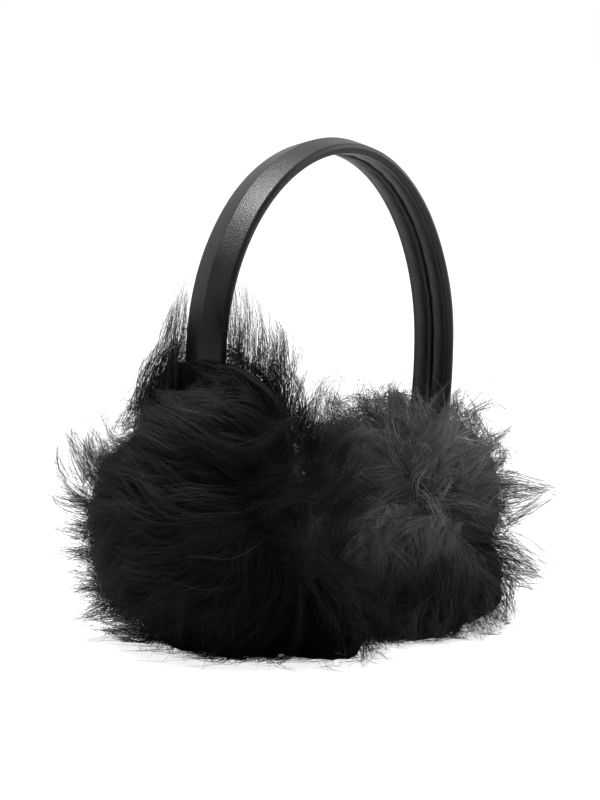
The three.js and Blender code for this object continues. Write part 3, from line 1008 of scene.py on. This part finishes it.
def shortness(panel, p):
    """1 where the fur has its full length, and less in the short spots."""
    keep = np.ones(len(p))
    for out, y, z, reach in SHORT_SPOTS[panel.node]:
        away = np.linalg.norm(p - np.array([panel.out * out, y, z]) * MM, axis=1)
        keep *= 1 - SHORT_SPOT_DEPTH * np.exp(-((away / (reach * MM)) ** 2))
    return keep


print("Fur keeps between", (LEAST_PLACE / MM).round(1), "and", (MOST_PLACE / MM).round(1), "mm")

# %% [markdown]
# Some locks would run over the cup's middle plane and lie across the band's leg. The leg looks cleaner without
# them, so they are left out. It stands free of the cup only above some height, so the rule looks no lower
# than that.

# %% Keep the band's leg free
PAST_MIDDLE = 1 * MM
LEG_FREE_ABOVE = 56 * MM  # in the cup's frame
LEG_ROOM = 18 * MM  # to the front and to the back


def crosses_leg(panel, lines):
    """Whether each guide line comes across the band's leg."""
    past = panel.out * lines[..., 0] < -PAST_MIDDLE
    beside = np.abs(lines[..., 1]) < LEG_ROOM
    return (past & (lines[..., 2] > LEG_FREE_ABOVE) & beside).any(1)


# %% [markdown]
# Now the walk itself, for all of a panel's guides at once. Near the rim, where a panel meets its neighbour,
# the hair lifts. Near the table it is shorter.

# %% Combing
STEPS = 14
ROOT_DEPTH = 3 * MM
LOW_FUR, LOW_FUR_LENGTH = 26 * MM, 0.4  # below this height above the table it is shorter, at the least this much
RIM_WIDTH = 22 * MM
LYING_HEIGHT = 4 * MM  # below this a hair doesn't point down
UNEVEN_LENGTH, UNEVEN_HEIGHT = (0.75, 1.2), (0.4, 1.5)
SPRING = 0.55  # how much of its old direction a hair keeps


def comb(panel, roots, length, tip_height, seed, rim_lift, sway=0.32):
    """Guide lines from the roots: their places and the way out of the fur, by line, step and axis."""
    source = np.random.default_rng(seed)
    count = len(roots)
    p = roots[:, :3] - roots[:, 3:6] * ROOT_DEPTH
    full = shortness(panel, p)
    low = np.clip(panel.to_world(p)[:, 2] / LOW_FUR, LOW_FUR_LENGTH, 1)
    step = length * low * full * source.uniform(*UNEVEN_LENGTH, count) / (STEPS - 1)
    tip_height = tip_height * full**2 * source.uniform(*UNEVEN_HEIGHT, count)
    rim_lift = rim_lift * full**2
    own_sway = source.normal(0, sway, count)
    heading, line, outs = None, [p.copy()], []
    for k in range(STEPS - 1):
        share = (k + 0.5) / (STEPS - 1)
        height, out, pile = blend_masses(panel, p)
        rim = np.clip(1 - np.abs(p[:, 0]) / RIM_WIDTH, 0, 1)
        turn = own_sway * (1 + 0.5 * share) + swing(p, seed)
        pile = unit_rows(pile + np.cross(out, pile) * turn[:, None])
        wanted = -ROOT_DEPTH + (tip_height * (1 + 0.7 * rim) + ROOT_DEPTH) * share**0.75
        climb = np.clip((wanted - height) / step * 0.9, -0.7, 1.4) + rim_lift * rim * (1 - share)
        target = unit_rows(pile * (1 - 0.45 * rim)[:, None] + out * climb[:, None])
        heading = target if heading is None else unit_rows(heading * SPRING + target * (1 - SPRING))
        world_heading = heading @ panel.turn.T
        lying = panel.to_world(p)[:, 2] < LYING_HEIGHT
        world_heading[lying, 2] = np.maximum(world_heading[lying, 2], 0.0)
        heading = unit_rows(world_heading) @ panel.turn
        outs.append(out)
        p = on_table(panel, p + heading * step[:, None])
        line.append(p.copy())
    outs.append(outs[-1])
    line, outs = np.stack(line, 1), np.stack(outs, 1)
    free = ~crosses_leg(panel, line)
    print(panel.node, "is combed:", free.sum(), "locks,", (~free).sum(), "left out at the band's leg")
    return line[free], outs[free]


# %% [markdown]
# Some locks don't follow the rest. They stand up round the band's left leg, fringe the back of the left cup,
# open in a burst on the right cup, and splay over the table between the cups. Each row below is such a tuft:
# where its root is, where its tip is, and how many locks it has.

# %% Tufts
TUFTS = {
    # root out, y, z; tip out, y, z; locks; in the cup's frame and millimetres
    "left_fur_outer": [
        (3, 18, 48, -10, 7, 101, 9), (3, 26, 45, -9, 9, 91, 9), (4, 34, 41, -8, 16, 80, 8),
        (3, 18, 48, -6, 14, 71, 11), (4, 28, 44, -6, 21, 68, 11), (5, 35, 40, -5, 29, 60, 8),
        (9, -28, 38, 6, -33, 66, 4),
        (12, 50, 22, 4, 65, 47, 9), (14, 54, 12, 8, 80, 41, 9), (16, 54, 3, 12, 85, 14, 10),
        (16, 54, -8, 16, 86, -3, 11), (18, 52, -20, 20, 85, -17, 11), (19, 48, -32, 24, 80, -32, 10),
        (18, 46, -36, 20, 67, -38, 9), (20, 42, -42, 26, 71, -43, 9), (20, 40, -48, 22, 58, -49, 8),
        (14, -30, 34, 5, -52, 50, 7), (16, -34, 24, 7, -57, 36, 8), (18, -34, 12, 9, -59, 20, 8),
        (18, -32, 0, 12, -58, 4, 7),
    ],
    "left_fur_inner": [
        (6, -8, 46, 16, -12, 104, 8), (7, -16, 47, 18, -22, 106, 8), (8, -24, 44, 19, -32, 99, 9),
        (-3, -42, 42, -6, -30, 60, 7), (-3, -34, 52, -6, -16, 66, 7), (-3, -20, 58, -7, 0, 65, 6),
        (-2, -26, 56, -3, -24, 74, 4), (-2, -35, 48, -3, -38, 66, 5), (-2, -42, 38, -4, -48, 56, 5),
        (8, -30, 40, 17, -41, 84, 9), (8, -35, 34, 16, -47, 66, 7), (8, -38, 28, 18, -54, 52, 6),
        (7, -10, 46, 12, -14, 70, 8), (8, -24, 42, 12, -30, 66, 9), (8, -34, 34, 11, -44, 52, 9),
        (12, -46, 30, 17, -59, 64, 6), (9, -42, 36, 13, -55, 50, 11), (12, -44, 26, 20, -58, 42, 11),
        (9, -40, 22, 12, -56, 31, 10), (8, -40, 12, 12, -56, 18, 8), (16, -42, 22, 30, -58, 36, 8),
        (18, -36, 8, 44, -58, 36, 8), (18, -36, 2, 46, -56, 24, 8), (20, -36, -6, 46, -54, 12, 8),
        (20, -36, -20, 44, -54, -12, 7), (12, -34, -42, 30, -54, -58, 9),
        (18, -32, -46, 42, -58, -69, 9), (20, -26, -46, 48, -46, -69, 7),
        (10, 50, 8, 2, 82, 14, 5), (10, 50, -10, 2, 82, -8, 5), (10, 46, -30, 6, 76, -32, 5),
    ],
    "right_fur_inner": [
        (14, -30, 12, 12, -56, 26, 6), (14, -34, 0, 12, -70, 6, 8), (22, -20, 12, 30, -34, 44, 7),
        (26, -22, 6, 38, -44, 34, 7), (26, -26, 0, 38, -54, 16, 6), (24, -18, 12, 38, -22, 44, 7),
        (26, -26, -6, 6, -54, -4, 6), (26, -24, -10, 34, -54, -26, 6), (26, -22, -2, 46, -40, 12, 6),
        (26, -28, 2, 22, -49, 23, 5), (26, -28, 2, 12, -50, 19, 6), (26, -28, 1, 2, -51, 12, 6),
        (26, -27, 4, 36, -42, 33, 5), (26, -28, -4, -8, -50, -8, 5), (24, -28, -14, -8, -50, -27, 7),
        (22, -30, -16, -20, -50, -32, 7),
        (14, 26, 14, 20, 45, 36, 9), (14, 12, 20, 18, 27, 41, 8), (14, -4, 20, 18, 4, 40, 6),
        (20, 24, 4, 36, 48, 28, 9), (28, 10, 6, 48, 24, 28, 8), (30, 4, -4, 54, 14, 4, 8), (28, 10, -4, 52, 30, 14, 8),
        (20, 30, -4, 40, 48, 10, 7), (14, 40, 2, 18, 64, 12, 8), (14, 42, -8, 20, 64, -5, 8),
        (18, 43, -2, 24, 62, 4, 7),
        (46, -34, -52, 56, -54, -73, 15), (38, -42, -52, 44, -62, -72, 16), (26, -46, -52, 28, -66, -67, 14),
        (50, -24, -52, 62, -42, -74, 8), (12, -48, -50, 12, -66, -60, 9),
    ],
    "right_fur_outer": [
        (8, -38, -2, 9, -76, 3, 11), (12, -38, -26, 14, -70, -35, 11), (14, -44, -48, 14, -54, -57, 7),
        (10, -4, 32, 8, -8, 44, 3), (25, -10, 12, 31, -8, 30, 5), (25, -12, 10, 31, -28, 10, 5),
        (25, -8, 10, 31, 8, 6, 5), (25, -10, 8, 31, -12, -8, 5),
    ],
}


print("Tufts:", {node: len(rows) for node, rows in TUFTS.items()})

# %% [markdown]
# A tuft's locks start and end with a scatter about its root and tip, and each is a curve that is arched a
# little outwards and up.

# %% From tufts to guide lines
ROOT_SCATTER, TIP_SCATTER, BOW_SCATTER = (3.0, 5.5, 5.5), 3.0, 5.5  # in millimetres
TUFT_LENGTHS = (0.7, 1.12)
BOW_OUT, BOW_UP = 3 * MM, 0.1


def tuft_guides(panel, seed):
    """The guide lines of a panel's tufts, like those of comb."""
    source = np.random.default_rng(seed)
    lines = []
    t = np.linspace(0, 1, STEPS)[:, None]
    for *ends, locks in TUFTS[panel.node]:
        root, tip = np.array(ends, float).reshape(2, 3) * (panel.out, 1, 1) * MM
        for _ in range(locks):
            start = root + source.normal(0, ROOT_SCATTER) * MM
            reach = tip + source.normal(0, TIP_SCATTER, 3) * MM - start
            end = start + reach * source.uniform(*TUFT_LENGTHS)
            arched = np.array([panel.out * BOW_OUT, 0, BOW_UP * np.linalg.norm(reach)])
            bend = (start + end) / 2 + arched + source.normal(0, BOW_SCATTER, 3) * MM
            lines.append(on_table(panel, (1 - t) ** 2 * start + 2 * t * (1 - t) * bend + t**2 * end))
    lines = np.array(lines)
    return lines, np.broadcast_to([float(panel.out), 0.0, 0.0], lines.shape)


# %% [markdown]
# ## The hair's material
#
# A hair is glossy, but thousands of them, each turned its own way, look soft. One material serves them all:
# its colour follows the tone that each hair carries, from root to tip, and the tone holds painted sheen, shade
# and light, and painted glints.

# %% The hair material
HAIR = bpy.data.materials.new("black_hair")
HAIR.use_nodes = True
t = Tree(HAIR.node_tree)
tone = t.add("ShaderNodeAttribute", attribute_name="tone").outputs["Fac"]
# the tone carries painted sheen, shade, light and glints into the colour
colour = t.add("ShaderNodeMix", {
    0: tone, 6: (0.0012, 0.0012, 0.0013, 1), 7: (0.085, 0.085, 0.088, 1),
}, data_type="RGBA", clamp_factor=False)
surface = HAIR.node_tree.nodes["Principled BSDF"]
surface.inputs["Roughness"].default_value = 0.5
surface.inputs["Specular IOR Level"].default_value = 0.25
t.tree.links.new(colour.outputs[2], surface.inputs["Base Color"])
print("Hair:", HAIR.name)

# %% [markdown]
# ## From guides to hair
#
# A Geometry Nodes tree makes a lock from every guide line. It is written in four short parts. First it copies
# the guide once per hair and cuts each copy to its own length. A number that differs from hair to hair comes
# from a random value that is read once per curve.

# %% The lock tree: copies of the guides
lock_tree = group("locks_from_guides", "GeometryNodeTree", [
    ("Guides", "INPUT", "NodeSocketGeometry"),
    ("Hairs", "INPUT", "NodeSocketInt", 22, 1, 500),
    ("Points", "INPUT", "NodeSocketInt", 6, 3, 30),
    ("Root Spread", "INPUT", "NodeSocketFloat", 4.5 * MM, 0.0, 1.0),
    ("Tip Spread", "INPUT", "NodeSocketFloat", 2.4 * MM, 0.0, 1.0),
    ("Wave", "INPUT", "NodeSocketFloat", 3.0 * MM, 0.0, 1.0),
    ("Wave Size", "INPUT", "NodeSocketFloat", 45.0, 0.0, 1e4),
    ("Curl", "INPUT", "NodeSocketFloat", 0.0, 0.0, 1.0),
    ("Stray Share", "INPUT", "NodeSocketFloat", 0.06, 0.0, 1.0),
    ("Stray Reach", "INPUT", "NodeSocketFloat", 4.0, 0.0, 50.0),
    ("Root Radius", "INPUT", "NodeSocketFloat", 0.14 * MM, 0.0, 1.0),
    ("Tip Radius", "INPUT", "NodeSocketFloat", 0.04 * MM, 0.0, 1.0),
    ("Shortest", "INPUT", "NodeSocketFloat", 0.6, 0.0, 1.0),
    # the share of hairs made light as painted glints
    ("Bright Share", "INPUT", "NodeSocketFloat", 0.004, 0.0, 1.0),
    ("Seed", "INPUT", "NodeSocketInt", 0, 0, 10000),
    ("Material", "INPUT", "NodeSocketMaterial"),
    ("Hair", "OUTPUT", "NodeSocketGeometry"),
])
g = Tree(lock_tree)
given = g.add("NodeGroupInput").outputs
curves = g.add("GeometryNodeMeshToCurve", {"Mesh": given["Guides"]}).outputs[0]
copies = g.add("GeometryNodeDuplicateElements", {"Geometry": curves, "Amount": given["Hairs"]}, domain="SPLINE")
number = g.add("GeometryNodeInputIndex").outputs[0]
hair_number = g.add("GeometryNodeFieldOnDomain", {0: number}, domain="CURVE", data_type="INT").outputs[0]


def chance(low, high, shift, each=hair_number):
    """A number between low and high, one for each hair."""
    seed = g.math("ADD", given["Seed"], float(shift))
    node = g.add("FunctionNodeRandomValue", {"ID": each, "Seed": seed}, data_type="FLOAT")
    floats = [s for s in node.inputs if s.type == "VALUE" and s.name in ("Min", "Max")]
    floats[0].default_value, floats[1].default_value = low, high
    return next(s for s in node.outputs if s.type == "VALUE")


cut = g.between(chance(0.0, 1.0, 1), given["Shortest"], 1.0)
trimmed = g.add(
    "GeometryNodeTrimCurve", {"Curve": copies.outputs[0], "Start": chance(0.0, 0.18, 2), "End": cut}, mode="FACTOR",
)
even = g.add("GeometryNodeResampleCurve", {"Curve": trimmed.outputs[0], "Count": given["Points"]}, mode="COUNT")
print("Copies and cut:", len(lock_tree.nodes), "nodes")

# %% [markdown]
# Next it moves each hair off the guide: far off at the root, where hairs stand side by side in the skin, and
# close to it at the tip, where a lock draws together. A few strays do the opposite. Two noises bend the hair,
# a wide wave and a small curl, and the tips swing more than the roots.

# %% The lock tree: spread and wave
along = g.add("GeometryNodeSplineParameter").outputs["Factor"]
out_way = g.add("GeometryNodeInputNamedAttribute", {"Name": "out"}, data_type="FLOAT_VECTOR").outputs[0]
across = g.vector("NORMALIZE", g.vector("CROSS_PRODUCT", out_way, g.add("GeometryNodeInputTangent").outputs[0]))
is_stray = g.math("LESS_THAN", chance(0.0, 1.0, 3), given["Stray Share"])
loose = g.math("ADD", 1.0, g.math("MULTIPLY", g.math("MULTIPLY", is_stray, along), given["Stray Reach"]))
spread = g.math("MULTIPLY", g.between(g.math("POWER", along, 0.6), given["Root Spread"], given["Tip Spread"]), loose)
sideways = g.scaled(across, g.math("MULTIPLY", spread, chance(-1.0, 1.0, 4)))
upwards = g.scaled(out_way, g.math("MULTIPLY", spread, chance(-0.45, 0.65, 5)))
position = g.add("GeometryNodeInputPosition").outputs[0]
own = g.scaled(g.add("ShaderNodeCombineXYZ", {"X": chance(0, 1, 6), "Y": chance(0, 1, 7)}).outputs[0], 0.03)
own_place = g.vector("ADD", position, own)


def bend(size, reach):
    """A noise that moves the hair, more at its tip."""
    noise = g.add("ShaderNodeTexNoise", {"Vector": own_place, "Scale": size, "Detail": 0.0})
    shake = g.vector("SUBTRACT", noise.outputs["Color"], (0.5, 0.5, 0.5))
    return g.scaled(shake, g.math("MULTIPLY", g.math("MULTIPLY", reach, 2.0), g.math("MULTIPLY", along, loose)))


bends = g.vector("ADD", bend(given["Wave Size"], given["Wave"]), bend(170.0, given["Curl"]))
moved = g.vector("ADD", g.vector("ADD", sideways, upwards), bends)
shifted = g.add("GeometryNodeSetPosition", {"Geometry": even.outputs[0], "Offset": moved}).outputs[0]
where = g.add("GeometryNodeInputPosition").outputs[0]
landed = g.vector("MAXIMUM", g.vector("MINIMUM", where, tuple(MOST_PLACE)), tuple(LEAST_PLACE))
laid = g.add("GeometryNodeSetPosition", {"Geometry": shifted, "Position": landed}).outputs[0]
print("With spread and wave:", len(lock_tree.nodes), "nodes")

# %% [markdown]
# Then each hair gets its tone, which is the coat's lightness at the guide, with its painted sheen, shade and light,
# times a number of its own, and darker towards the root. A few hairs are made light as painted glints. It also
# gets its number and its run from root to tip, for the texture layout below.

# %% The lock tree: tone and taper
# the coat's lightness, with its painted sheen, shade and light
light = g.add("GeometryNodeInputNamedAttribute", {"Name": "light"}, data_type="FLOAT").outputs[0]
# painted glints: a few hairs are made light
is_glint_hair = g.math("LESS_THAN", chance(0.0, 1.0, 10), given["Bright Share"])
lock_number = g.math("FLOOR", g.math("DIVIDE", g.math("ADD", hair_number, 0.5), given["Hairs"]))
own_tone = g.math("MULTIPLY", chance(0.35, 1.0, 9), chance(0.35, 1.3, 12, lock_number))
own_tone = g.math("MULTIPLY", g.math("MULTIPLY", own_tone, light), g.between(along, 0.4, 1.1))
tone = g.math("ADD", own_tone, g.math("MULTIPLY", is_glint_hair, chance(0.2, 1.3, 11)))
radius = g.between(g.math("POWER", g.math("SUBTRACT", 1.0, along), 0.6), given["Tip Radius"], given["Root Radius"])
radius = g.math("MULTIPLY", radius, chance(0.7, 1.15, 8))


def store(geometry, name, value, kind="FLOAT", domain="POINT"):
    return g.add(
        "GeometryNodeStoreNamedAttribute", {"Geometry": geometry, "Name": name, "Value": value},
        data_type=kind, domain=domain,
    ).outputs[0]


toned = store(store(store(laid, "tone", tone), "along", along), "hair", hair_number, "INT", "CURVE")
print("With tone and taper:", len(lock_tree.nodes), "nodes")

# %% [markdown]
# Last, each hair becomes a slim closed tube of three sides, because there are thousands of them. Its texture
# layout is a small cell of a square grid, one cell a hair, with the way round the tube across the cell and
# the way to the tip up it.

# %% The lock tree: tubes and their layout
ring = g.add("GeometryNodeCurvePrimitiveCircle", {"Resolution": 3, "Radius": 1.0}).outputs[0]
ring = store(ring, "around", g.math("MULTIPLY", number, 0.5))
tube = g.add("GeometryNodeCurveToMesh", {"Curve": toned, "Profile Curve": ring, "Scale": radius, "Fill Caps": True})
hairs_in_all = g.add("GeometryNodeAttributeDomainSize", {0: toned}, component="CURVE").outputs["Spline Count"]
grid = g.math("CEIL", g.math("SQRT", hairs_in_all))
named = {
    name: g.add("GeometryNodeInputNamedAttribute", {"Name": name}, data_type=kind).outputs[0]
    for name, kind in (("along", "FLOAT"), ("around", "FLOAT"), ("hair", "INT"))
}
column = g.math("MODULO", named["hair"], grid)
line = g.math("FLOOR", g.math("DIVIDE", g.math("ADD", named["hair"], 0.5), grid))
u = g.math("DIVIDE", g.math("ADD", column, g.math("MULTIPLY_ADD", named["around"], 0.8, 0.1)), grid)
v = g.math("DIVIDE", g.math("ADD", line, g.math("MULTIPLY_ADD", named["along"], 0.8, 0.1)), grid)
layout = g.add("ShaderNodeCombineXYZ", {"X": u, "Y": v}).outputs[0]
mapped = store(tube.outputs[0], "OFBake", layout, "FLOAT2", "CORNER")
real = g.add("GeometryNodeRealizeInstances", {"Geometry": mapped}).outputs[0]
finish = g.add("GeometryNodeSetMaterial", {"Geometry": real, "Material": given["Material"]}).outputs[0]
g.add("NodeGroupOutput", {"Hair": finish})
print("The whole tree:", len(lock_tree.nodes), "nodes")

# %% [markdown]
# The tree works on guide lines that are a mesh of edges. Each of their points carries the way out of the fur
# and the coat's lightness.

# %% Growing hair on guides


def guide_object(name, panel, lines, outs):
    """Guide lines as a mesh of edges, with the way out of the fur and the coat's lightness at each point."""
    count, steps = lines.shape[:2]
    local = lines.reshape(-1, 3)
    edges = [(i * steps + k, i * steps + k + 1) for i in range(count) for k in range(steps - 1)]
    guides = line_object(name, panel.to_world(local), edges)
    set_at_points(guides.data, "out", outs.reshape(-1, 3) @ panel.turn.T)
    # the coat's lightness, with its painted sheen, shade and light
    set_at_points(guides.data, "light", coat_tone_with_painted_light(panel, local))
    return guides


def grow(name, panel, lines, outs, **values):
    """Hair on guide lines, as one plain mesh."""
    guides = guide_object(name, panel, lines, outs)
    modifier = guides.modifiers.new("locks", "NODES")
    modifier.node_group = lock_tree
    set_inputs(modifier, material=HAIR, **values)
    hair = settled(guides, name)
    print(name, len(lines), "locks,", sum(len(p.vertices) - 2 for p in hair.data.polygons), "triangles")
    return hair


# %% [markdown]
# ## Three layers of hair
#
# The coat is the dense layer, in locks. The guard hairs are fewer, longer, thinner and wavier, and cross the
# locks. The tufts stand out of both.

# %% Grow the coats
COATS = {
    # lock spacing, hairs in a lock, length, height of the tips, guard spacing, rim lift;
    # and for the tufts: share of hairs made light as painted glints, tip spread
    "left_fur_outer": (5.2, 22, 48, 6, 9.5, 0.8, 0.004, 1.4),
    "left_fur_inner": (6.4, 14, 46, 8, 10, 0.8, 0.01, 1.4),
    "right_fur_inner": (5.5, 20, 46, 9, 9.5, 0.6, 0.3, 3.0),
    "right_fur_outer": (6.6, 16, 32, 2, 12, 0.1, 0.01, 1.4),
}
GUARD_LENGTH = 1.25  # of the coat's
coats = {}
for count, (node, row) in enumerate(COATS.items()):
    spacing, hairs, length, tips, guard_spacing, lift, tuft_glint_share, ends = row
    panel = panels[node]
    roots = roots_on(panel, spacing * MM, 20 + count)
    lines = comb(panel, roots, length * MM, tips * MM, 40 + count, rim_lift=lift)
    coat = grow(
        node.replace("fur", "coat"), panel, *lines, hairs=hairs, points=5, seed=100 * count,
        root_radius=0.13 * MM, wave=4.2 * MM, tip_spread=2.0 * MM,
    )
    roots = roots_on(panel, guard_spacing * MM, 30 + count)
    lines = comb(panel, roots, GUARD_LENGTH * length * MM, (tips + 4) * MM, 50 + count, sway=0.5, rim_lift=lift)
    # the guards' and tufts' glint shares make a few hairs light as painted glints
    guards = grow(
        node.replace("fur", "guards"), panel, *lines, hairs=11, points=9, seed=100 * count + 20,
        root_spread=7 * MM, tip_spread=6 * MM, wave=7 * MM, curl=1.2 * MM, stray_share=0.12, shortest=0.5,
        root_radius=0.10 * MM, bright_share=0.03,
    )
    tufts = grow(
        node.replace("fur", "tufts"), panel, *tuft_guides(panel, 60 + count), hairs=17, points=5,
        seed=100 * count + 50, root_spread=5 * MM, tip_spread=ends * MM, wave=5 * MM, curl=1.2 * MM, shortest=0.72,
        root_radius=0.095 * MM, tip_radius=0.03 * MM, bright_share=tuft_glint_share,
    )
    coats[node] = [coat, guards, tufts]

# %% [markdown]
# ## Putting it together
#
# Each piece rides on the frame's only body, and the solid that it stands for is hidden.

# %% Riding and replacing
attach(headband, "root")
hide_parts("headband")
for piece, finish_name in ((seam, "stitching"), (stitches, "stitching")):
    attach(piece, "root")
    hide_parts("headband_seam")
for node, form in pelts.items():
    for piece in [form, *coats[node]]:
        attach(piece, "root")
        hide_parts(node)
print("Pieces:", 3 + sum(1 + len(layers) for layers in coats.values()))

# %% [markdown]
# Last, the triangles of all the meshes, the frame's with them, are counted. The hair reaches past the solids.

# %% Sizes, and the end
triangles = sum(
    len(p.vertices) - 2 for thing in bpy.data.objects if thing.type == "MESH" and thing.users_scene
    for p in thing.data.polygons
)
print("Triangles in all, with the frame's:", triangles)
